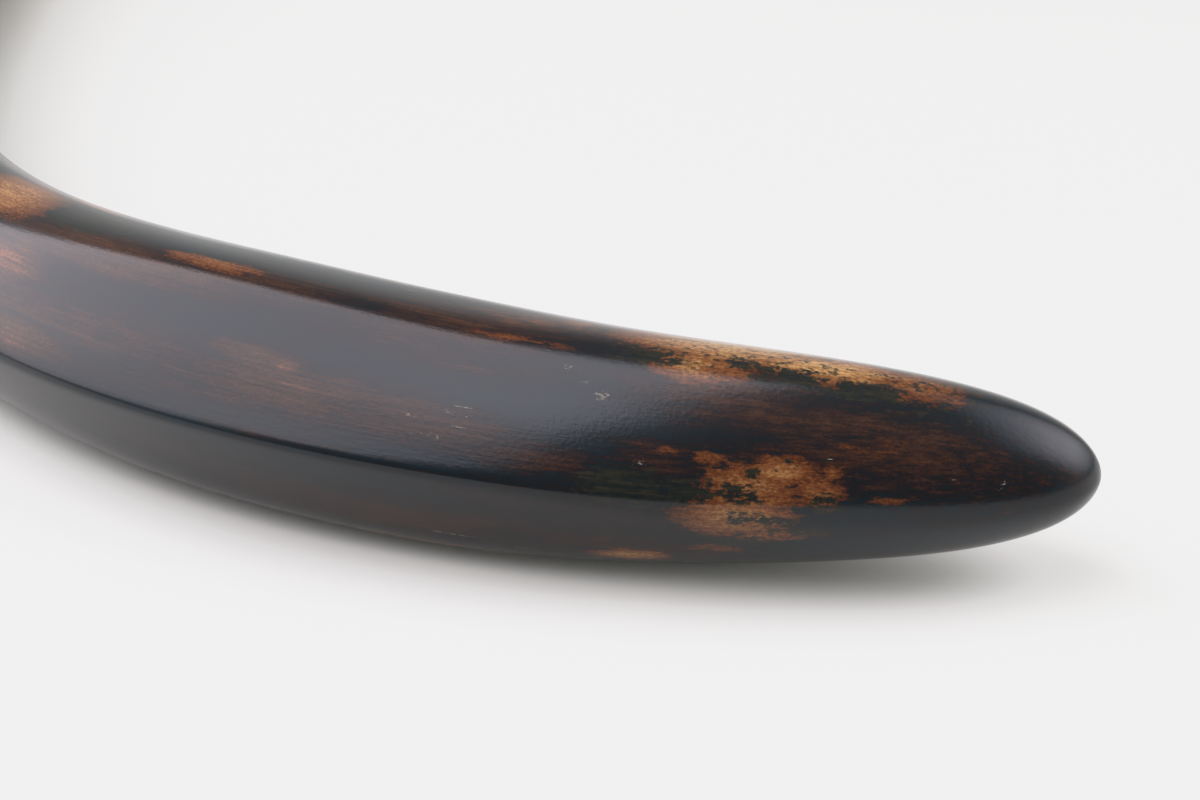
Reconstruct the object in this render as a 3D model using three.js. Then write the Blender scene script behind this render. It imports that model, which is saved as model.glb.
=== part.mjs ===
// A polished mammoth tusk, one piece of dark mineral-stained fossil ivory, lying on its side.
// Millimetres, +Z up. The blunt tip points along +X and the tusk curves back until its sawn
// root faces +Y. The origin is under the middle of its outline, on the surface it lies on.

import * as THREE from "three";
import { mergeVertices } from "three/addons/utils/BufferGeometryUtils.js";

// Each row holds one value every STATION_STEP along the curved axis, from the tip to the root.
const TUSK_LENGTH = 700;
const STATION_STEP = 100;
// Direction of the axis, turned from -X towards +Y, in degrees: a quarter turn over the length.
const HEADING = [8.2, 10.7, 27.4, 49.4, 66, 78, 86, 90];
// Radius of the tusk before its flats are taken off.
const RADIUS = [18.8, 26.6, 28.8, 27.6, 28.5, 30.2, 31.8, 33];
// Height of the axis over the table. The belly touches near the tip, halfway and at the root.
const AXIS_HEIGHT = [28, 26.6, 29.6, 29.4, 28.5, 30.7, 32.4, 32.6];

// The tip closes as a blunt dome: the radius grows as (1 - exp(-s / NOSE_SPAN)) ^ NOSE_POWER.
const NOSE_SPAN = 19.4;
const NOSE_POWER = 0.54;

// Broad flats rubbed along the shaft. Angles run from the outside of the bend up over the top,
// in degrees. Each flat drifts from its angle at the tip to its angle at the root.
const FLATS = [
  { atTip: 40, atRoot: 30, distance: 0.945 },
  { atTip: 108, atRoot: 92, distance: 0.965 },
  { atTip: 166, atRoot: 152, distance: 0.962 },
  { atTip: 226, atRoot: 214, distance: 0.97 },
  { atTip: 281, atRoot: 274, distance: 0.958 },
  { atTip: 334, atRoot: 330, distance: 0.97 },
];
const RIDGE_SHARPNESS = 14;
// How much of the flats is there, from 0 for a round section: none at the tip, little at the root.
const FLAT_STRENGTH = [0, 0.75, 1, 1, 0.75, 0.5, 0.38, 0.32];

// The root is sawn off square, with both edges eased, and open to the conical pulp hollow.
const HOLLOW_MOUTH_RADIUS = 19;
const HOLLOW_DEPTH = 105;
const HOLLOW_TAPER = 0.75;
const SAWN_EDGE = 1.5;

// Mesh fineness.
const SIDES = 48;
const TIP_ZONE = 40;
const TIP_RINGS = 14;
const SHAFT_RINGS = 60;
const HOLLOW_RINGS = 10;
const AXIS_SUM_STEP = 2;

// Smooth value of a station row at distance s from the tip (Catmull-Rom, ends carried on).
function rowValue(row, s) {
  const last = row.length - 1;
  const place = Math.min(Math.max(s / STATION_STEP, 0), last - 1e-9);
  const index = Math.floor(place);
  const t = place - index;
  const before = index > 0 ? row[index - 1] : 2 * row[0] - row[1];
  const here = row[index];
  const next = row[index + 1];
  const after = index + 2 <= last ? row[index + 2] : 2 * row[last] - row[last - 1];
  const linear = next - before;
  const square = 2 * before - 5 * here + 4 * next - after;
  const cube = 3 * here - before - 3 * next + after;
  return 0.5 * (2 * here + linear * t + square * t * t + cube * t * t * t);
}

function headingAt(s) {
  return THREE.MathUtils.degToRad(rowValue(HEADING, s));
}

function radiusAt(s) {
  return rowValue(RADIUS, s) * Math.pow(1 - Math.exp(-s / NOSE_SPAN), NOSE_POWER);
}

// Point of the axis at distance s from the tip, summed up along its heading.
function axisPoint(s) {
  const steps = Math.max(1, Math.ceil(s / AXIS_SUM_STEP));
  const stride = s / steps;
  const point = new THREE.Vector3(0, 0, rowValue(AXIS_HEIGHT, s));
  for (let i = 0; i < steps; i += 1) {
    const heading = headingAt((i + 0.5) * stride);
    point.x -= Math.cos(heading) * stride;
    point.y += Math.sin(heading) * stride;
  }
  return point;
}

// Share of the full radius that the flats leave at this angle and distance from the tip.
function sectionShare(angle, s) {
  const along = s / TUSK_LENGTH;
  let sum = 0;
  for (const flat of FLATS) {
    const centre = THREE.MathUtils.degToRad(THREE.MathUtils.lerp(flat.atTip, flat.atRoot, along));
    const reach = Math.max(Math.cos(angle - centre), 0) / flat.distance;
    sum += Math.pow(reach, RIDGE_SHARPNESS);
  }
  const flattened = 1 / Math.pow(sum, 1 / RIDGE_SHARPNESS);
  return THREE.MathUtils.lerp(1, flattened, rowValue(FLAT_STRENGTH, s));
}

// Half outline of the straightened tusk, as radius and distance from the tip:
// down the outside, across the sawn face, and up the hollow to its closed end.
function profilePoints() {
  const points = [new THREE.Vector2(0, 0)];
  const outside = (s) => points.push(new THREE.Vector2(radiusAt(s), s));
  for (let i = 1; i <= TIP_RINGS; i += 1) {
    outside(TIP_ZONE * (1 - Math.cos((i / TIP_RINGS) * Math.PI / 2)));
  }
  const shaftLength = TUSK_LENGTH - SAWN_EDGE - TIP_ZONE;
  for (let i = 1; i <= SHAFT_RINGS; i += 1) {
    outside(TIP_ZONE + (i / SHAFT_RINGS) * shaftLength);
  }
  points.push(new THREE.Vector2(radiusAt(TUSK_LENGTH) - SAWN_EDGE, TUSK_LENGTH));
  points.push(new THREE.Vector2(HOLLOW_MOUTH_RADIUS + SAWN_EDGE, TUSK_LENGTH));
  for (let i = 0; i < HOLLOW_RINGS; i += 1) {
    const inward = SAWN_EDGE + (HOLLOW_DEPTH - SAWN_EDGE) * Math.sin((i / HOLLOW_RINGS) * Math.PI / 2);
    const share = Math.pow(1 - (inward - SAWN_EDGE) / (HOLLOW_DEPTH - SAWN_EDGE), HOLLOW_TAPER);
    points.push(new THREE.Vector2(HOLLOW_MOUTH_RADIUS * share, TUSK_LENGTH - inward));
  }
  points.push(new THREE.Vector2(0, TUSK_LENGTH - HOLLOW_DEPTH));
  return points;
}

// Moves each point of the straight tusk to its place round the bent axis.
function bendAlongAxis(geometry) {
  const position = geometry.getAttribute("position");
  const straight = new THREE.Vector3();
  const up = new THREE.Vector3(0, 0, 1);
  for (let i = 0; i < position.count; i += 1) {
    straight.fromBufferAttribute(position, i);
    const s = straight.y;
    const angle = Math.atan2(straight.x, straight.z);
    const radius = Math.hypot(straight.x, straight.z) * sectionShare(angle, s);
    const heading = headingAt(s);
    const outward = new THREE.Vector3(-Math.sin(heading), -Math.cos(heading), 0);
    const bent = axisPoint(s);
    bent.addScaledVector(outward, radius * Math.cos(angle));
    bent.addScaledVector(up, radius * Math.sin(angle));
    position.setXYZ(i, bent.x, bent.y, bent.z);
  }
}

// Puts the middle of the outline over the origin and the belly on the table.
function standOnOrigin(geometry) {
  geometry.computeBoundingBox();
  const middle = geometry.boundingBox.getCenter(new THREE.Vector3());
  geometry.translate(-middle.x, -middle.y, -geometry.boundingBox.min.z);
}

function makeTusk() {
  const turned = new THREE.LatheGeometry(profilePoints(), SIDES);
  turned.deleteAttribute("normal");
  turned.deleteAttribute("uv");
  const geometry = mergeVertices(turned);
  bendAlongAxis(geometry);
  standOnOrigin(geometry);
  geometry.computeVertexNormals();
  const polishedIvory = new THREE.MeshStandardMaterial({
    color: 0x2e2624,
    roughness: 0.25,
    metalness: 0,
  });
  const tusk = new THREE.Mesh(geometry, polishedIvory);
  tusk.name = "tusk";
  return tusk;
}

const mammothTusk = new THREE.Group();
mammothTusk.add(makeTusk());

export default mammothTusk;
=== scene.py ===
import math

import bmesh
import bpy
import numpy as np
from mathutils import Matrix, Vector, noise


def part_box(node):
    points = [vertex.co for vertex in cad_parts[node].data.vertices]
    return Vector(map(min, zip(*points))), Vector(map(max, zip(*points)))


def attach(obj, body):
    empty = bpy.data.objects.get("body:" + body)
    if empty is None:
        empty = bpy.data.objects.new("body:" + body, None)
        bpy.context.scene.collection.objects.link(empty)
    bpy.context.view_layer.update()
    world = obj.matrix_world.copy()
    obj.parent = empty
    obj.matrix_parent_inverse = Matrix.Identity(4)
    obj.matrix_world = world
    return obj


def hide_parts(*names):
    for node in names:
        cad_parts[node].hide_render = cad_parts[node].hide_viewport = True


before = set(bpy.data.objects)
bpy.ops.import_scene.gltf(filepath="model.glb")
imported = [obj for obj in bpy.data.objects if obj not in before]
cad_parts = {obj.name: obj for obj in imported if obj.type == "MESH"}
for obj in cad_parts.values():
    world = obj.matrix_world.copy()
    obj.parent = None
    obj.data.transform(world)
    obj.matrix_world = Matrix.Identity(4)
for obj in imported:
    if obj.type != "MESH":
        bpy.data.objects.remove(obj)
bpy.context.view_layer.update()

MM = 0.001

# The tusk's form in millimetres and degrees. Each row holds one value every STATION_STEP along
# the curved axis, from the tip to the sawn root. The axis and the radii are the solid's, and the
# section is a little finer: crisper along the lower ridge, rounder on top and toward the root.
TUSK_LENGTH = 700
STATION_STEP = 100
HEADING = (8.2, 10.7, 27.4, 49.4, 66, 78, 86, 90)
RADIUS = (18.8, 26.6, 28.8, 27.6, 28.5, 30.2, 31.8, 33)
AXIS_HEIGHT = (28, 26.6, 29.6, 29.4, 28.5, 30.7, 32.4, 32.6)

# The tip closes as a blunt dome: its radius grows as (1 - exp(-s / NOSE_SPAN)) ^ NOSE_POWER.
NOSE_SPAN = 19.4
NOSE_POWER = 0.54

# Flats rubbed along the shaft: their angle at the tip, at the shaft's start and at the root, then
# the distance from the axis and the radius of the flat's own crown, in tusk radii.
FLATS = (
    (36, 42, 30, 0.917, 10.8),
    (128, 104.2, 98.7, 1.022, 2.6),
    (166, 163, 152, 0.962, 40),
    (226, 223, 214, 0.97, 40),
    (291, 279.5, 274, 0.958, 40),
    (322, 336, 330, 0.983, 40),
)
SHAFT_START = 150

# How much of the flats is there, from 0 for a round section, and how sharp the ridges between
# them are. The lower ridge, at its angle and over its width in degrees, is sharper than the rest.
FLAT_STRENGTH = (0.32, 0.77, 0.98, 0.42, 0.34, 0.32, 0.32, 0.32)
RIDGE_SHARPNESS = (9, 9, 12, 5, 5, 5, 5, 5)
LOWER_RIDGE = 3
LOWER_RIDGE_WIDTH = 16
LOWER_RIDGE_CRISPNESS = (0, 8, 75, 40, 22, 12, 12, 12)

# The root is sawn off square, with both edges eased, and open to the pulp hollow. Sawn ivory
# shows within SAWN_FINISH_DEPTH of the end, and what is further than HOLLOW_WALL_DEPTH inside the
# skin before that is the hollow's wall.
HOLLOW_MOUTH_RADIUS = 19
HOLLOW_DEPTH = 105
HOLLOW_TAPER = 0.75
SAWN_EDGE = 1.5
SAWN_FINISH_DEPTH = 1.05
HOLLOW_WALL_DEPTH = 3

# Fineness of the visible surface.
SIDES = 176
TIP_ZONE = 40
TIP_RINGS = 56
SHAFT_RINGS = 372
FACE_RINGS = 10
HOLLOW_RINGS = 60
EDGE_STEPS = 4
AXIS_SUM_STEP = 0.5
WELD_DISTANCE = 1e-4

# Unevenness of the hand-polished skin: long shallow swells along the shaft.
SWELL_HEIGHT = 0.22
SWELL_LENGTH = 60
SWELL_WIDTH = 16

# The photograph's view: lens, frame, height over the table, and the scale at the aimed point.
PHOTO_WIDTH = 1200
LENS = 70
SENSOR_WIDTH = 36
VIEW_ELEVATION = 27
MM_PER_PIXEL = 0.265
AIM_FROM_TIP = Vector((-112.3, 93.1, 0))
NEAREST_SEEN = 10


def row_value(row, s):
    """Smooth value of a station row at distance s from the tip, its ends carried on."""
    row = np.asarray(row, float)
    last = len(row) - 1
    place = np.clip(np.asarray(s, float) / STATION_STEP, 0, last - 1e-9)
    index = np.floor(place).astype(int)
    t = place - index
    carried = np.concatenate([[2 * row[0] - row[1]], row, [2 * row[last] - row[last - 1]]])
    before = carried[index]
    here = carried[index + 1]
    following = carried[index + 2]
    after = carried[index + 3]
    linear = following - before
    square = 2 * before - 5 * here + 4 * following - after
    cube = 3 * here - before - 3 * following + after
    return 0.5 * (2 * here + linear * t + square * t**2 + cube * t**3)


def radius_at(s):
    return row_value(RADIUS, s) * (1 - np.exp(-np.asarray(s, float) / NOSE_SPAN)) ** NOSE_POWER


def flat_angle(s, at_tip, at_shaft, at_root):
    """Where a flat faces at distance s: it turns into its line along the shaft from the tip."""
    slope = (at_root - at_shaft) / (TUSK_LENGTH - SHAFT_START)
    share = np.clip(s / SHAFT_START, 0, 1)
    turned = 1 - share * share * (3 - 2 * share)
    return at_shaft + slope * (s - SHAFT_START) + (at_tip - at_shaft + slope * SHAFT_START) * turned


def section_share(angle, s):
    """Share of the full radius that the flats leave at this angle and distance."""
    off_ridge = (np.degrees(angle) - LOWER_RIDGE + 180) % 360 - 180
    crisp = row_value(LOWER_RIDGE_CRISPNESS, s) * np.exp(-(off_ridge / LOWER_RIDGE_WIDTH) ** 2)
    sharpness = row_value(RIDGE_SHARPNESS, s) + crisp
    total = 0
    for at_tip, at_shaft, at_root, distance, crown in FLATS:
        turn = angle - np.radians(flat_angle(s, at_tip, at_shaft, at_root))
        behind = crown - distance
        square = crown**2 - (behind * np.sin(turn)) ** 2
        faces = (square > 0) & (np.cos(turn) > 0)
        reach = np.where(faces, np.sqrt(np.abs(square)) - behind * np.cos(turn), np.inf)
        total = total + reach ** -sharpness
    flattened = total ** (-1 / sharpness)
    return 1 + (flattened - 1) * row_value(FLAT_STRENGTH, s)


def axis_points(s):
    """Points of the bent axis at distances s from the tip, which is over x = y = 0."""
    fine = np.arange(0, TUSK_LENGTH + AXIS_SUM_STEP, AXIS_SUM_STEP)
    middle = np.radians(row_value(HEADING, fine[:-1] + AXIS_SUM_STEP / 2))
    x = np.concatenate([[0], np.cumsum(-np.cos(middle))]) * AXIS_SUM_STEP
    y = np.concatenate([[0], np.cumsum(np.sin(middle))]) * AXIS_SUM_STEP
    return np.interp(s, fine, x), np.interp(s, fine, y), row_value(AXIS_HEIGHT, s)


def half_outline():
    """The straightened tusk's outline as radius and distance: skin, sawn face, then hollow."""
    rings = [(0, 0)]
    for step in range(1, TIP_RINGS + 1):
        s = TIP_ZONE * (1 - math.cos(step / TIP_RINGS * math.pi / 2))
        rings.append((float(radius_at(s)), s))
    shaft_end = TUSK_LENGTH - SAWN_EDGE
    for step in range(1, SHAFT_RINGS + 1):
        s = TIP_ZONE + (shaft_end - TIP_ZONE) * step / SHAFT_RINGS
        rings.append((float(radius_at(s)), s))
    outer = float(radius_at(TUSK_LENGTH)) - SAWN_EDGE
    for step in range(1, EDGE_STEPS + 1):
        turn = step / EDGE_STEPS * math.pi / 2
        rings.append((outer + SAWN_EDGE * math.cos(turn), shaft_end + SAWN_EDGE * math.sin(turn)))
    inner = HOLLOW_MOUTH_RADIUS + SAWN_EDGE
    for step in range(1, FACE_RINGS):
        rings.append((outer + (inner - outer) * step / FACE_RINGS, TUSK_LENGTH))
    for step in range(EDGE_STEPS + 1):
        turn = step / EDGE_STEPS * math.pi / 2
        rings.append((inner - SAWN_EDGE * math.sin(turn), shaft_end + SAWN_EDGE * math.cos(turn)))
    depth = HOLLOW_DEPTH - SAWN_EDGE
    for step in range(1, HOLLOW_RINGS):
        share = math.sin(step / HOLLOW_RINGS * math.pi / 2)
        rings.append((HOLLOW_MOUTH_RADIUS * (1 - share) ** HOLLOW_TAPER, shaft_end - depth * share))
    return rings + [(0, TUSK_LENGTH - HOLLOW_DEPTH)]


def turned_mesh():
    """The straightened tusk, spun from its half outline about the X axis, in millimetres."""
    shape = bmesh.new()
    outline = [shape.verts.new((s, radius, 0)) for radius, s in half_outline()]
    edges = [shape.edges.new(pair) for pair in zip(outline, outline[1:])]
    bmesh.ops.spin(shape, geom=outline + edges, cent=(0, 0, 0), axis=(1, 0, 0), dvec=(0, 0, 0),
                   angle=math.tau, steps=SIDES, use_merge=True, use_duplicate=False)
    bmesh.ops.remove_doubles(shape, verts=shape.verts, dist=WELD_DISTANCE)
    bmesh.ops.recalc_face_normals(shape, faces=shape.faces)
    mesh = bpy.data.meshes.new("tusk_surface")
    shape.to_mesh(mesh)
    shape.free()
    return mesh


def values(items, name, width=3):
    """One property of all a mesh's items, as rows of numbers."""
    flat = np.empty(len(items) * width)
    items.foreach_get(name, flat)
    return flat.reshape(len(items), width)


def zone(straight):
    """Which straightened points are on the sawn face, and which in the hollow."""
    s = straight[:, 0]
    depth = radius_at(s) - np.hypot(straight[:, 1], straight[:, 2])
    on_face = s > TUSK_LENGTH - SAWN_FINISH_DEPTH
    in_hollow = ~on_face & (depth > HOLLOW_WALL_DEPTH)
    return on_face, in_hollow


def swell(straight):
    """Height of the skin's shallow unevenness at straightened points."""
    stretch = Vector((1 / SWELL_LENGTH, 1 / SWELL_WIDTH, 1 / SWELL_WIDTH))
    heights = [noise.noise(Vector(point) * stretch) for point in straight.tolist()]
    return SWELL_HEIGHT * np.array(heights)


def bend(straight):
    """Places of straightened points round the bent axis, in millimetres."""
    s = straight[:, 0]
    angle = np.arctan2(straight[:, 2], straight[:, 1])
    reach = np.hypot(straight[:, 1], straight[:, 2]) * section_share(angle, s)
    on_face, in_hollow = zone(straight)
    on_skin = ~on_face & ~in_hollow
    reach += np.where(on_skin, swell(straight) * np.clip(s / TIP_ZONE, 0, 1), 0)
    heading = np.radians(row_value(HEADING, s))
    x, y, z = axis_points(s)
    return np.stack([x - np.sin(heading) * reach * np.cos(angle),
                     y - np.cos(heading) * reach * np.cos(angle),
                     z + reach * np.sin(angle)], axis=1)


# Where the stain is thin. A patch has its distance from the tip, its angle round the section from
# the outside of the bend over the top, its half length, half width, and its level: 1 is bare cream
# ivory, 0.4 is rust.
THIN_STAIN = (
    (77, 11, 12, 6.5, 0.58),
    (79, -3, 13, 5.5, 0.66),
    (70, 22, 8, 4, 0.62),
    (62, 12, 6, 4, 0.54),
    (86, 27, 4, 1.8, 0.46),
    (95, 28, 4, 1.4, 0.38),
    (72, -15, 12, 2.6, 0.52),
    (46, 8, 16, 1.3, 0.34),
    (59, 22, 2, 1.8, 0.5),
    (50, 36, 12, 5, 0.24),
    (102, -38, 9, 2.6, 0.72),
    (83, -28, 7, 2.4, 0.4),
    (148, -50, 40, 2, 0.42),
    (84, 95, 26, 8, 0.84),
    (62, 86, 20, 5.5, 0.86),
    (90, 76, 12, 5, 0.66),
    (44, 83, 16, 5.5, 0.56),
    (128, 96, 22, 5, 0.34),
    (132, 76, 16, 1.6, 0.36),
    (119, 101, 5, 2, 0.56),
    (286, 90, 18, 10, 0.72),
    (263, 112, 13, 2.6, 0.5),
    (209, 82, 15, 2.6, 0.52),
)

# Islands of green-black mineral left in and beside the thin places, measured the same way.
ISLANDS = (
    (79, 10, 5.5, 2.4, 0.66),
    (76, -4, 7, 2, 0.66),
    (76, 20, 2, 1.2, 0.66),
    (69, 28, 1.6, 1.2, 0.66),
    (60, 6, 5, 2.2, 0.62),
    (69, -4, 4, 1.2, 0.6),
    (90, 10, 7, 3, 0.66),
    (103, 10, 10, 4.4, 0.8),
    (79, -20, 10, 2.6, 0.56),
    (66, -11, 8, 2.4, 0.56),
    (76, 6, 18, 12, 0.2),
    (101, 78, 10, 3.4, 0.62),
    (80, 79, 8, 2, 0.66),
    (69, 74, 10, 2.6, 0.7),
    (53, 72, 14, 2.8, 0.7),
    (72, 96, 46, 16, 0.3),
    (40, 78, 20, 8, 0.36),
    (252, 92, 15, 6, 0.8),
)

# Warm brown depth in the dark ground, measured the same way.
BROWN_GROUND = (
    (147, 27, 20, 5, 0.9),
    (124, 19, 13, 3, 0.9),
    (152, 60, 26, 6, 0.4),
    (68, 38, 28, 10, 0.4),
    (42, 40, 18, 10, 0.5),
    (98, 24, 8, 4, 0.8),
    (135, 84, 30, 8, 0.7),
    (236, 73, 38, 5.5, 0.95),
    (200, 78, 30, 4, 0.5),
    (266, 50, 13, 6, 1.6),
    (256, 17, 20, 3.6, 1.5),
    (187, 42, 12, 3.6, 1.1),
    (181, 40, 4, 2, 1.5),
    (86, 67, 20, 5, 0.8),
    (240, 30, 36, 10, 0.6),
    (170, 30, 30, 6, 0.8),
    (160, -26, 50, 5, 0.5),
    (108, -34, 26, 6, 0.55),
)

# Level of the thin stain, the islands and the brown ground away from all their patches.
LEVELS_AWAY = (0, -0.06, 0)


def patch_middle(s, angle):
    """Straightened place of a patch's middle, on the skin."""
    radius = float(radius_at(s))
    turn = math.radians(angle)
    return np.array([s, radius * math.cos(turn), radius * math.sin(turn)])


def patch_field(straight, patches, away):
    """Highest field of the patches: each has its level in its middle and half of it at its edge."""
    field = np.full(len(straight), float(away))
    for s, angle, half_length, half_width, level in patches:
        own = (straight - patch_middle(s, angle)) / (half_length, half_width, half_width)
        field = np.maximum(field, level * (1 - (own * own).sum(axis=1) / 2))
    return field


def build_tusk(materials):
    """The dressed tusk, set in the solid's box. Gives the move from the tip's own place to there."""
    mesh = turned_mesh()
    straight = values(mesh.vertices, "co")
    on_face, in_hollow = zone(values(mesh.polygons, "center"))
    mesh.polygons.foreach_set("material_index", (on_face * 1 + in_hollow * 2).astype(np.int32))
    for material in materials:
        mesh.materials.append(material)

    placed = bend(straight)
    low, high = (np.array(corner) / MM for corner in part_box("tusk"))
    shift = np.array([high[0] - placed[:, 0].max(),
                      high[1] - placed[:, 1].max(),
                      low[2] - placed[:, 2].min()])
    mesh.vertices.foreach_set("co", ((placed + shift) * MM).ravel())
    carried = mesh.attributes.new("straight", "FLOAT_VECTOR", "POINT")
    carried.data.foreach_set("vector", (straight * MM).ravel())
    fields = [patch_field(straight, patches, away)
              for patches, away in zip((THIN_STAIN, ISLANDS, BROWN_GROUND), LEVELS_AWAY)]
    carried = mesh.attributes.new("stain", "FLOAT_VECTOR", "POINT")
    carried.data.foreach_set("vector", np.stack(fields, axis=1).ravel())
    mesh.shade_smooth()
    mesh.update()
    piece = bpy.data.objects.new("tusk_body", mesh)
    bpy.context.scene.collection.objects.link(piece)
    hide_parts("tusk")
    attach(piece, "root")
    return shift


def linear(hex_colour):
    """sRGB hex to the linear colour that the shaders read."""
    parts = [int(hex_colour[i:i + 2], 16) / 255 for i in (1, 3, 5)]
    return tuple(p / 12.92 if p <= 0.04045 else ((p + 0.055) / 1.055) ** 2.4 for p in parts) + (1.0,)


def add(tree, kind, links=None, out=0, stops=None, **settings):
    """Adds a node and gives its output. links holds a value or another node's output per input."""
    node = tree.nodes.new(kind)
    for name, value in settings.items():
        setattr(node, name, value)
    for socket, source in (links or {}).items():
        if isinstance(source, bpy.types.NodeSocket):
            tree.links.new(source, node.inputs[socket])
        else:
            node.inputs[socket].default_value = source
    if stops:
        elements = node.color_ramp.elements
        while len(elements) < len(stops):
            elements.new(0.5)
        for element, (place, colour) in zip(elements, stops):
            element.position = place
            element.color = linear(colour)
    return node.outputs[out] if node.outputs else node


def new_material(name):
    material = bpy.data.materials.new(name)
    material.use_nodes = True
    material.node_tree.nodes.clear()
    return material, material.node_tree


def grain(tree, place, length, width, detail=3.0, roughness=0.5, seed=0.0):
    """Cloudy grain about the level 0, its features length by width millimetres along the tusk."""
    size = (length * MM, width * MM, width * MM)
    scaled = add(tree, "ShaderNodeMapping", {"Vector": place, "Scale": size}, vector_type="TEXTURE")
    moved = add(tree, "ShaderNodeVectorMath", {0: scaled, 1: (seed, seed, seed)}, operation="ADD")
    cloud = add(tree, "ShaderNodeTexNoise", {"Vector": moved, "Scale": 1.0, "Detail": detail,
                                             "Roughness": roughness})
    return add(tree, "ShaderNodeMath", {0: cloud, 1: 0.5}, operation="SUBTRACT")


def patched(tree, place, patches):
    """The field of patch_field, drawn by nodes for marks that are finer than the mesh."""
    highest = 0.0
    for s, angle, half_length, half_width, level in patches:
        middle = tuple(patch_middle(s, angle) * MM)
        size = (half_length * MM, half_width * MM, half_width * MM)
        own = add(tree, "ShaderNodeMapping", {"Vector": place, "Location": middle, "Scale": size},
                  vector_type="TEXTURE")
        square = add(tree, "ShaderNodeVectorMath", {0: own, 1: own}, out="Value", operation="DOT_PRODUCT")
        field = add(tree, "ShaderNodeMath", {0: square, 1: -level / 2, 2: level}, operation="MULTIPLY_ADD")
        highest = add(tree, "ShaderNodeMath", {0: highest, 1: field}, operation="MAXIMUM")
    return highest


def raised(tree, base, *grains):
    """A field with grains added, each with its own height."""
    for cloud, height in grains:
        base = add(tree, "ShaderNodeMath", {0: cloud, 1: height, 2: base}, operation="MULTIPLY_ADD")
    return base


# Small pale chips and scuffs, measured the same way.
SCUFFS = (
    (119, 66, 1.6, 1, 0.7),
    (114, 59, 2.2, 0.9, 0.7),
    (110, 53, 2.1, 1.7, 0.84),
    (100, 22, 2.2, 1.6, 0.62),
    (150, 29, 2.6, 0.7, 0.66),
    (141, 33, 5, 0.8, 0.6),
    (145, 21, 7, 0.7, 0.6),
    (162, 104, 4, 0.7, 0.66),
    (22, 18, 2, 1.4, 0.6),
    (150, 105, 18, 4, 0.4),
)

# Fine scratches: the same, far longer than wide.
SCRATCHES = (
    (142, -36, 8, 0.16, 0.9),
    (139, 37, 3, 0.12, 0.9),
    (139, 27, 2.4, 0.12, 0.9),
    (127, -40, 4, 0.12, 0.8),
    (60, 30, 1.2, 0.12, 0.9),
    (33, 21, 3, 0.12, 0.8),
)

# Patches drawn by chance take over from the placed ones past this distance and on the far side.
WILD_FROM = 290
WILD_ALL = 340
FAR_SIDE_FROM = 10
FAR_SIDE_ALL = 20


def wild_patches(tree, place):
    """Chance patches of thin stain on the length and the side that no mark was placed on."""
    along = add(tree, "ShaderNodeSeparateXYZ", {0: place}, out="X")
    along = add(tree, "ShaderNodeMapRange", {"Value": along, "From Min": WILD_FROM * MM,
                                             "From Max": WILD_ALL * MM, "To Min": -1.0,
                                             "To Max": 0.0})
    inward = add(tree, "ShaderNodeSeparateXYZ", {0: place}, out="Y")
    inward = add(tree, "ShaderNodeMapRange", {"Value": inward, "From Min": -FAR_SIDE_FROM * MM,
                                              "From Max": -FAR_SIDE_ALL * MM, "To Min": -1.0,
                                              "To Max": 0.0})
    allowed = add(tree, "ShaderNodeMath", {0: along, 1: inward}, operation="MAXIMUM")
    clouds = grain(tree, place, 75, 15, detail=3.0, seed=61.0)
    return raised(tree, allowed, (clouds, 3.4))


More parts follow.
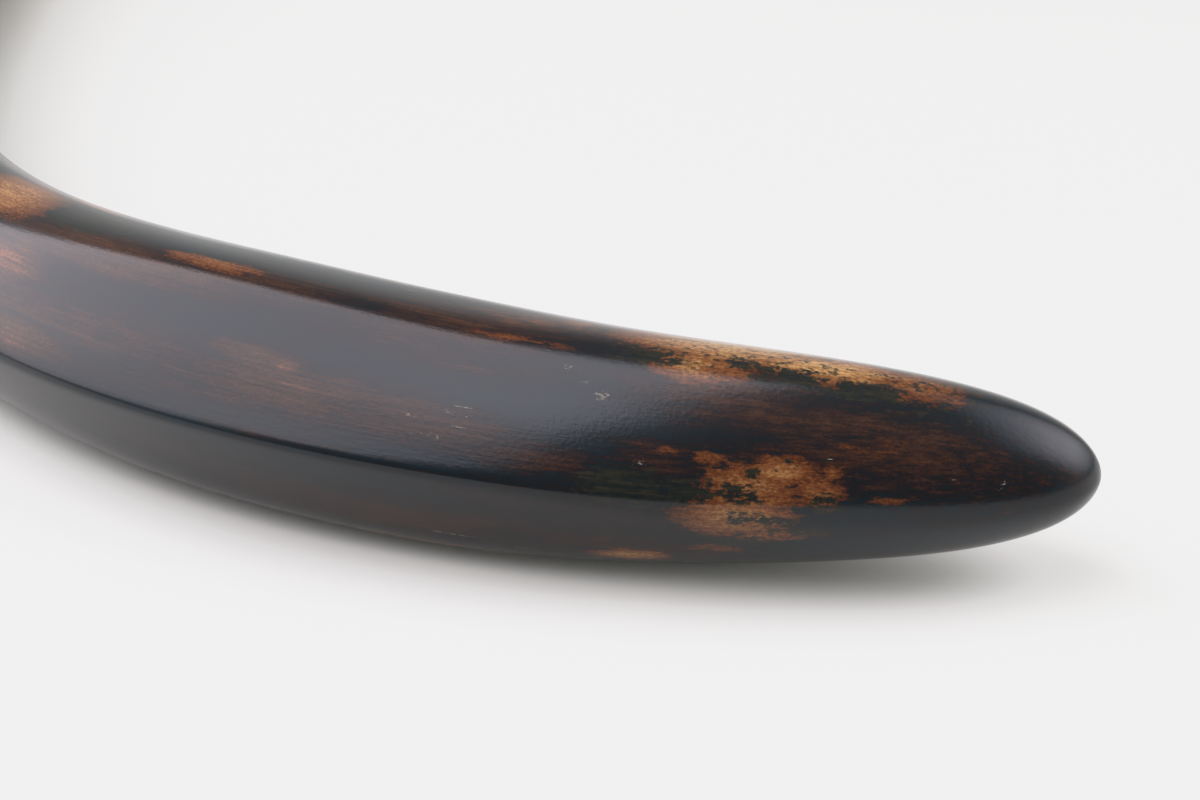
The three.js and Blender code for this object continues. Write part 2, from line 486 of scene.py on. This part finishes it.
def ivory_colour(tree, place):
    """Colour of the stained skin: dark ground, the ivory's own gold, and mineral islands on it."""
    stain = add(tree, "ShaderNodeAttribute", attribute_name="stain", out="Vector")
    thin = add(tree, "ShaderNodeSeparateXYZ", {0: stain}, out="X")
    islands = add(tree, "ShaderNodeSeparateXYZ", {0: stain}, out="Y")
    warm = add(tree, "ShaderNodeSeparateXYZ", {0: stain}, out="Z")
    ragged = grain(tree, place, 6, 2, detail=8.0, roughness=0.68, seed=3.0)
    streaks = grain(tree, place, 30, 0.8, detail=5.0, roughness=0.62, seed=7.0)
    speckle = grain(tree, place, 0.9, 0.5, detail=2.0, seed=11.0)
    broad = grain(tree, place, 85, 12, detail=4.0, roughness=0.6)

    tinted = raised(tree, 0.4, (warm, 0.34), (broad, 0.8), (streaks, 0.65), (ragged, 0.45),
                    (speckle, 0.35))
    dark = add(tree, "ShaderNodeValToRGB", {"Fac": tinted}, stops=(
        (0.2, "#0a151b"), (0.34, "#0a1318"), (0.43, "#0d1012"), (0.52, "#140f12"), (0.64, "#22140f"),
        (0.84, "#352016"), (1.1, "#5a3822")))

    thin = add(tree, "ShaderNodeMath", {0: thin, 1: wild_patches(tree, place)}, operation="MAXIMUM")
    edged = raised(tree, thin, (ragged, 1.1), (streaks, 0.3))
    bare = add(tree, "ShaderNodeMapRange", {"Value": edged, "From Min": 0.22, "From Max": 0.34},
               interpolation_type="SMOOTHSTEP")
    toned = raised(tree, thin, (ragged, 0.35), (streaks, 0.6), (speckle, 0.6))
    ivory = add(tree, "ShaderNodeValToRGB", {"Fac": toned}, stops=(
        (0.1, "#1a100c"), (0.26, "#2e180e"), (0.42, "#472511"), (0.62, "#5f3c1f"), (0.8, "#7a5c38"),
        (1.05, "#97794d")))
    colour = add(tree, "ShaderNodeMix", {"Factor": bare, "A": dark, "B": ivory}, out="Result",
                 data_type="RGBA")

    crumbs = grain(tree, place, 2.2, 1.2, detail=6.0, roughness=0.66, seed=23.0)
    islands = raised(tree, islands, (crumbs, 2.0), (ragged, 0.6), (streaks, 0.3))
    mineral = add(tree, "ShaderNodeMapRange", {"Value": islands, "From Min": 0.3, "From Max": 0.56},
                  interpolation_type="SMOOTHSTEP")
    green = add(tree, "ShaderNodeValToRGB", {"Fac": raised(tree, 0.5, (streaks, 1.0), (crumbs, 0.6))},
                stops=((0.3, "#0a1012"), (0.5, "#121613"), (0.72, "#221e14")))
    return add(tree, "ShaderNodeMix", {"Factor": mineral, "A": colour, "B": green}, out="Result",
               data_type="RGBA")


def polished_fossil_ivory():
    """Mammoth ivory stained through by iron and vivianite, then sanded and waxed: near-black
    blue and brown, with the gold of the ivory where the stain thins, under a clear satin gloss."""
    material, tree = new_material("polished_fossil_ivory")
    place = add(tree, "ShaderNodeAttribute", attribute_name="straight", out="Vector")
    colour = ivory_colour(tree, place)

    flecks = grain(tree, place, 0.9, 0.6, detail=3.0, roughness=0.6, seed=31.0)
    scuffed = raised(tree, patched(tree, place, SCUFFS), (flecks, 2.4))
    scuffed = add(tree, "ShaderNodeMapRange", {"Value": scuffed, "From Min": 0.72, "From Max": 1.1})
    scratch = raised(tree, patched(tree, place, SCRATCHES), (flecks, 2.0))
    scratch = add(tree, "ShaderNodeMapRange", {"Value": scratch, "From Min": 0.5, "From Max": 1.0})
    worn = add(tree, "ShaderNodeMath", {0: scuffed, 1: scratch}, operation="MAXIMUM")
    worn = add(tree, "ShaderNodeMath", {0: worn, 1: 0.5}, operation="MULTIPLY")
    colour = add(tree, "ShaderNodeMix", {"Factor": worn, "A": colour, "B": linear("#8f8576")},
                 out="Result", data_type="RGBA")

    wax = grain(tree, place, 40, 14, detail=4.0, seed=41.0)
    gloss = raised(tree, 0.18, (wax, 0.12), (worn, 0.35))
    fibre = grain(tree, place, 14, 0.6, detail=2.0, seed=5.0)
    pebble = grain(tree, place, 1.2, 0.9, detail=2.0, seed=9.0)
    relief = add(tree, "ShaderNodeBump", {"Distance": 0.012 * MM, "Height": fibre})
    relief = add(tree, "ShaderNodeBump", {"Distance": 0.022 * MM, "Height": pebble, "Normal": relief})
    skin = add(tree, "ShaderNodeBsdfPrincipled", {"Base Color": colour, "Roughness": gloss, "IOR": 1.37,
                                                  "Normal": relief})
    add(tree, "ShaderNodeOutputMaterial", {"Surface": skin})
    return material


# Marks of the sawn end, from real tusk ivory: growth rings, the crossing arcs of its tubules, saw
# marks, and stain from the rim, which starts at a wandering distance from the tusk's middle. A
# wave texture goes through WAVE_NODE_RATE radians over its own unit of length.
RING_SPACING = 2.2
ARC_COUNT = 84
ARC_TWIST = 3.2
SAW_MARK_SPACING = 1.1
WAVE_NODE_RATE = 20
RIM_STAIN_FROM = 29
RIM_STAIN_FULL = 32.4
RIM_STAIN_WANDER = 5


def crossed_arcs(tree, place):
    """The engine-turned pattern of ivory: two sets of spirals that cross in a chequer."""
    across = add(tree, "ShaderNodeSeparateXYZ", {0: place}, out="Y")
    height = add(tree, "ShaderNodeSeparateXYZ", {0: place}, out="Z")
    angle = add(tree, "ShaderNodeMath", {0: height, 1: across}, operation="ARCTAN2")
    flat = add(tree, "ShaderNodeVectorMath", {0: place, 1: (0, 1, 1)}, operation="MULTIPLY")
    radius = add(tree, "ShaderNodeVectorMath", {0: flat}, out="Value", operation="LENGTH")
    spread = add(tree, "ShaderNodeMath", {0: radius, 1: math.e}, operation="LOGARITHM")
    chequer = 1.0
    for side in (-1, 1):
        turn = add(tree, "ShaderNodeMath", {0: spread, 1: side * ARC_TWIST, 2: angle},
                   operation="MULTIPLY_ADD")
        phase = add(tree, "ShaderNodeMath", {0: turn, 1: ARC_COUNT}, operation="MULTIPLY")
        arcs = add(tree, "ShaderNodeMath", {0: phase}, operation="SINE")
        chequer = add(tree, "ShaderNodeMath", {0: arcs, 1: chequer}, operation="MULTIPLY")
    return chequer, radius, flat


def sawn_ivory():
    """The sawn end: bare dentine, cream to tan, cut straight across with a fine saw. It shows
    growth rings, crossing arcs and fine saw marks, and the stain has soaked in from the rim."""
    material, tree = new_material("sawn_ivory")
    place = add(tree, "ShaderNodeAttribute", attribute_name="straight", out="Vector")
    chequer, radius, flat = crossed_arcs(tree, place)
    rings = add(tree, "ShaderNodeTexWave", {
        "Vector": place, "Scale": math.tau / (WAVE_NODE_RATE * RING_SPACING * MM), "Distortion": 1.4,
        "Detail": 2.0, "Detail Scale": 0.6}, wave_type="RINGS", rings_direction="X")
    clouds = grain(tree, place, 9, 9, detail=5.0, seed=71.0)
    tone = raised(tree, 0.42, (rings, 0.14), (chequer, 0.07), (clouds, 0.7))
    colour = add(tree, "ShaderNodeValToRGB", {"Fac": tone}, stops=(
        (0.25, "#5b4128"), (0.5, "#8a6f49"), (0.75, "#a99068")))

    rim = raised(tree, radius, (clouds, RIM_STAIN_WANDER * MM))
    rim = add(tree, "ShaderNodeMapRange", {"Value": rim, "From Min": RIM_STAIN_FROM * MM,
                                           "From Max": RIM_STAIN_FULL * MM},
              interpolation_type="SMOOTHSTEP")
    colour = add(tree, "ShaderNodeMix", {"Factor": rim, "A": colour, "B": linear("#1f1611")},
                 out="Result", data_type="RGBA")
    spokes = add(tree, "ShaderNodeVectorMath", {0: flat}, operation="NORMALIZE")
    split = add(tree, "ShaderNodeTexNoise", {"Vector": spokes, "Scale": 7.0, "Detail": 3.0})
    split = add(tree, "ShaderNodeMath", {0: split, 1: 0.5}, operation="SUBTRACT")
    split = add(tree, "ShaderNodeMath", {0: split}, operation="ABSOLUTE")
    split = add(tree, "ShaderNodeMapRange", {"Value": raised(tree, split, (clouds, 0.05)),
                                             "From Min": 0.006, "From Max": 0.0})
    colour = add(tree, "ShaderNodeMix", {"Factor": split, "A": colour, "B": linear("#21170f")},
                 out="Result", data_type="RGBA")

    saw = add(tree, "ShaderNodeTexWave", {
        "Vector": place, "Scale": math.tau / (WAVE_NODE_RATE * SAW_MARK_SPACING * MM),
        "Distortion": 1.0, "Detail": 1.0}, wave_type="BANDS", bands_direction="Z")
    relief = add(tree, "ShaderNodeBump", {"Distance": 0.02 * MM, "Height": saw})
    relief = add(tree, "ShaderNodeBump", {"Distance": 0.2 * MM, "Height": split, "Normal": relief},
                 invert=True)
    face = add(tree, "ShaderNodeBsdfPrincipled", {"Base Color": colour, "Roughness": 0.55, "IOR": 1.54,
                                                  "Normal": relief})
    add(tree, "ShaderNodeOutputMaterial", {"Surface": face})
    return material


def hollow_dentine():
    """Wall of the pulp hollow: raw dentine, never polished, dull brown with fine grooves down it
    and the low steps that its growth layers end in."""
    material, tree = new_material("hollow_dentine")
    place = add(tree, "ShaderNodeAttribute", attribute_name="straight", out="Vector")
    grooves = grain(tree, place, 40, 1.1, detail=4.0, roughness=0.6, seed=81.0)
    clouds = grain(tree, place, 14, 8, detail=5.0, seed=83.0)
    steps = grain(tree, place, 3, 40, detail=3.0, seed=87.0)
    tone = raised(tree, 0.46, (grooves, 0.8), (clouds, 0.7), (steps, 0.3))
    colour = add(tree, "ShaderNodeValToRGB", {"Fac": tone}, stops=(
        (0.25, "#1c1410"), (0.5, "#3b2a1d"), (0.75, "#5c4630")))
    relief = add(tree, "ShaderNodeBump", {"Distance": 0.15 * MM, "Height": grooves})
    relief = add(tree, "ShaderNodeBump", {"Distance": 0.2 * MM, "Height": steps, "Normal": relief})
    wall = add(tree, "ShaderNodeBsdfPrincipled", {"Base Color": colour, "Roughness": 0.75, "IOR": 1.54,
                                                  "Normal": relief})
    add(tree, "ShaderNodeOutputMaterial", {"Surface": wall})
    return material


# The table: its reach in metres, the number of its sides, and its tone.
FLOOR_REACH = 5.0
FLOOR_SIDES = 96
FLOOR_TONE = "#c8c7c1"


def table_white():
    """A white card table, matt with a faint gloss, which takes soft shadows."""
    material, tree = new_material("table_white")
    sheet = add(tree, "ShaderNodeBsdfPrincipled", {"Base Color": linear(FLOOR_TONE), "Roughness": 0.5,
                                                   "IOR": 1.3})
    add(tree, "ShaderNodeOutputMaterial", {"Surface": sheet})
    return material


def lay_floor():
    """The round white table under the tusk."""
    shape = bmesh.new()
    bmesh.ops.create_circle(shape, cap_ends=True, segments=FLOOR_SIDES,
                            radius=FLOOR_REACH)
    mesh = bpy.data.meshes.new("studio_floor")
    shape.to_mesh(mesh)
    shape.free()
    mesh.materials.append(table_white())
    floor = bpy.data.objects.new("studio_floor", mesh)
    bpy.context.scene.collection.objects.link(floor)


def aim_camera(tip):
    """The photograph's view: looking along +Y and down at a point beside the tusk."""
    distance = MM_PER_PIXEL * LENS / SENSOR_WIDTH * PHOTO_WIDTH
    elevation = math.radians(VIEW_ELEVATION)
    target = tip + AIM_FROM_TIP
    target.z = 0
    back = Vector((0, -math.cos(elevation), math.sin(elevation)))
    camera = bpy.data.cameras.new("photo_view")
    camera.lens = LENS
    camera.sensor_width = SENSOR_WIDTH
    camera.clip_start = NEAREST_SEEN * MM
    seen = bpy.data.objects.new("photo_view", camera)
    seen.location = (target + back * distance) * MM
    seen.rotation_euler = (math.pi / 2 - elevation, 0, 0)
    bpy.context.scene.collection.objects.link(seen)
    bpy.context.scene.camera = seen


# Two soft boxes, as their reflections in the tusk show them. Places are metres from LIT_SPOT.
# FADE is the share of a side over which the light rises from its dimmer edge. The right box
# faces the tusk squarely, and is then slid along its own sides.
LIT_SPOT = Vector((0.07, -0.2, 0.03))
BOX_TINT = "#f8f4ff"
LEFT_BOX_MIDDLE = Vector((-0.986, -0.1, 0.833))
LEFT_BOX_ACROSS = Vector((0.551, 0.806, 0.217))
LEFT_BOX_UP = Vector((-0.664, 0.582, -0.47))
LEFT_BOX_SIZE = (1.38, 2.28)
LEFT_BOX_RADIANCE = 5.0
LEFT_BOX_FRONT_SHARE = 0.3
LEFT_BOX_FADE = 0.38
RIGHT_BOX_TOWARD = Vector((0.792, 0.288, 0.707))
RIGHT_BOX_SLID_ACROSS = -0.4
RIGHT_BOX_SLID_UP = -0.05
RIGHT_BOX_SIZE = (1.48, 1.54)
RIGHT_BOX_RADIANCE = 4.9
RIGHT_BOX_FADE = 0.4


def soft_box(name, middle, across, up, size, radiance):
    """A rectangular light. across and up are the directions of its sides, size their lengths."""
    light = bpy.data.lights.new(name, "AREA")
    light.shape = "RECTANGLE"
    width, height = size
    light.size = width
    light.size_y = height
    light.energy = radiance * math.pi * width * height
    light.color = linear(BOX_TINT)[:3]
    lamp = bpy.data.objects.new(name, light)
    across = across.normalized()
    facing = across.cross(up).normalized()
    turned = Matrix((across, facing.cross(across), facing)).transposed().to_4x4()
    lamp.matrix_world = Matrix.Translation(LIT_SPOT + middle) @ turned
    lamp.visible_camera = False
    bpy.context.scene.collection.objects.link(lamp)

    light.use_nodes = True
    tree = light.node_tree
    tree.nodes.clear()
    return tree


def fade_to_front(tree):
    """Dims the left box toward the side nearest the camera, where its own lamp reaches least."""
    face = add(tree, "ShaderNodeNewGeometry", out="Parametric")
    across = add(tree, "ShaderNodeSeparateXYZ", {0: face}, out="X")
    strength = add(tree, "ShaderNodeMapRange", {"Value": across, "From Max": LEFT_BOX_FADE,
                                                "To Min": LEFT_BOX_FRONT_SHARE, "To Max": 1.0})
    glow = add(tree, "ShaderNodeEmission", {"Strength": strength})
    add(tree, "ShaderNodeOutputLight", {"Surface": glow})


def fade_all_round(tree):
    """Dims the right box toward all its sides, as cloth lit by one lamp behind its middle."""
    face = add(tree, "ShaderNodeNewGeometry", out="Parametric")
    strength = 1.0
    for side in ("X", "Y"):
        place = add(tree, "ShaderNodeSeparateXYZ", {0: face}, out=side)
        inside = add(tree, "ShaderNodeMath", {0: place, 1: 0.5}, operation="PINGPONG")
        rise = add(tree, "ShaderNodeMapRange", {"Value": inside, "From Max": RIGHT_BOX_FADE})
        strength = add(tree, "ShaderNodeMath", {0: strength, 1: rise}, operation="MULTIPLY")
    glow = add(tree, "ShaderNodeEmission", {"Strength": strength})
    add(tree, "ShaderNodeOutputLight", {"Surface": glow})


def hang_soft_boxes():
    """The left box makes the long highlight on the facet, the right one the light on the tip."""
    fade_to_front(soft_box("soft_box_left", LEFT_BOX_MIDDLE, LEFT_BOX_ACROSS, LEFT_BOX_UP,
                           LEFT_BOX_SIZE, LEFT_BOX_RADIANCE))
    across = Vector((-RIGHT_BOX_TOWARD.y, RIGHT_BOX_TOWARD.x, 0)).normalized()
    up = RIGHT_BOX_TOWARD.cross(across)
    middle = RIGHT_BOX_TOWARD + RIGHT_BOX_SLID_ACROSS * across + RIGHT_BOX_SLID_UP * up
    fade_all_round(soft_box("soft_box_right", middle, across, up, RIGHT_BOX_SIZE, RIGHT_BOX_RADIANCE))


# Light of the room. The gloss mirrors a ceiling above CEILING_FROM and walls below WALLS_BELOW,
# with more light from low down, and a dim part behind the camera. Heights and depths are parts of
# a direction whose length is 1. The matt surfaces get a fill that is strongest from FILL_FROM.
BACKDROP = 1.3
CEILING = 0.57
CEILING_FROM = 0.8
WALLS = 0.92
WALLS_BELOW = 0.4
LOW_LIGHT = 0.34
LOW_LIGHT_EDGE = 0.09
BEHIND_CAMERA = 0.24
BEHIND_FROM = -0.3
BEHIND_ALL = -0.8
FILL_FROM = (0.8, -0.6, 0)
STRONGEST_FILL = 1.95
WEAKEST_FILL = 0.4


def mirrored_room(tree, way):
    """Strength of the room that the gloss mirrors, by direction."""
    height = add(tree, "ShaderNodeSeparateXYZ", {0: way}, out="Z")
    depth = add(tree, "ShaderNodeSeparateXYZ", {0: way}, out="Y")
    wall = add(tree, "ShaderNodeMapRange", {"Value": height, "From Min": CEILING_FROM,
                                            "From Max": WALLS_BELOW, "To Min": CEILING,
                                            "To Max": WALLS})
    low = add(tree, "ShaderNodeMapRange", {"Value": height, "From Min": LOW_LIGHT_EDGE,
                                           "From Max": -LOW_LIGHT_EDGE, "To Min": 0.0,
                                           "To Max": LOW_LIGHT})
    wall = add(tree, "ShaderNodeMath", {0: wall, 1: low}, operation="ADD")
    ahead = add(tree, "ShaderNodeMapRange", {"Value": depth, "From Min": BEHIND_ALL,
                                             "From Max": BEHIND_FROM},
                interpolation_type="SMOOTHSTEP")
    return add(tree, "ShaderNodeMapRange", {"Value": ahead, "To Min": BEHIND_CAMERA, "To Max": wall})


def side_fill(tree, way):
    """Strength of the soft fill on matt surfaces, by direction."""
    toward = add(tree, "ShaderNodeVectorMath", {0: way, 1: FILL_FROM}, out="Value",
                 operation="DOT_PRODUCT")
    return add(tree, "ShaderNodeMapRange", {"Value": toward, "From Min": -1.0,
                                            "To Min": WEAKEST_FILL, "To Max": STRONGEST_FILL})


def paint_room():
    """The world: a plain pale backdrop for the camera, the room for gloss, the fill for the rest."""
    world = bpy.data.worlds.new("studio")
    world.use_nodes = True
    bpy.context.scene.world = world
    tree = world.node_tree
    tree.nodes.clear()
    way = add(tree, "ShaderNodeTexCoord", out="Generated")
    matt = add(tree, "ShaderNodeLightPath", out="Is Diffuse Ray")
    light = add(tree, "ShaderNodeMapRange", {"Value": matt, "To Min": mirrored_room(tree, way),
                                             "To Max": side_fill(tree, way)})
    seen = add(tree, "ShaderNodeLightPath", out="Is Camera Ray")
    light = add(tree, "ShaderNodeMapRange", {"Value": seen, "To Min": light, "To Max": BACKDROP})
    glow = add(tree, "ShaderNodeBackground", {"Strength": light})
    add(tree, "ShaderNodeOutputWorld", {"Surface": glow})


# How the camera turns light into tone: straight up to the mid tones, then a shoulder, so that the
# brightly lit table stays a flat off-white. Pairs of light and tone.
SHOULDER_END = 1.8
SHOULDER = ((0.3, 0.3), (0.47, 0.5), (0.65, 0.68), (0.84, 0.775), (1.0, 0.84), (1.15, 0.873),
            (1.35, 0.88))
BRIGHTEST_TONE = 0.885


def set_tones():
    view = bpy.context.scene.view_settings
    view.view_transform = "Standard"
    view.use_curve_mapping = True
    view.curve_mapping.white_level = (SHOULDER_END,) * 3
    curve = view.curve_mapping.curves[3]
    for light, tone in SHOULDER:
        curve.points.new(light / SHOULDER_END, tone)
    curve.points[-1].location = (1, BRIGHTEST_TONE)
    for point in curve.points:
        point.handle_type = "VECTOR"
    view.curve_mapping.update()


shift = build_tusk([polished_fossil_ivory(), sawn_ivory(), hollow_dentine()])
lay_floor()
aim_camera(Vector(shift.tolist()))
hang_soft_boxes()
paint_room()
set_tones()
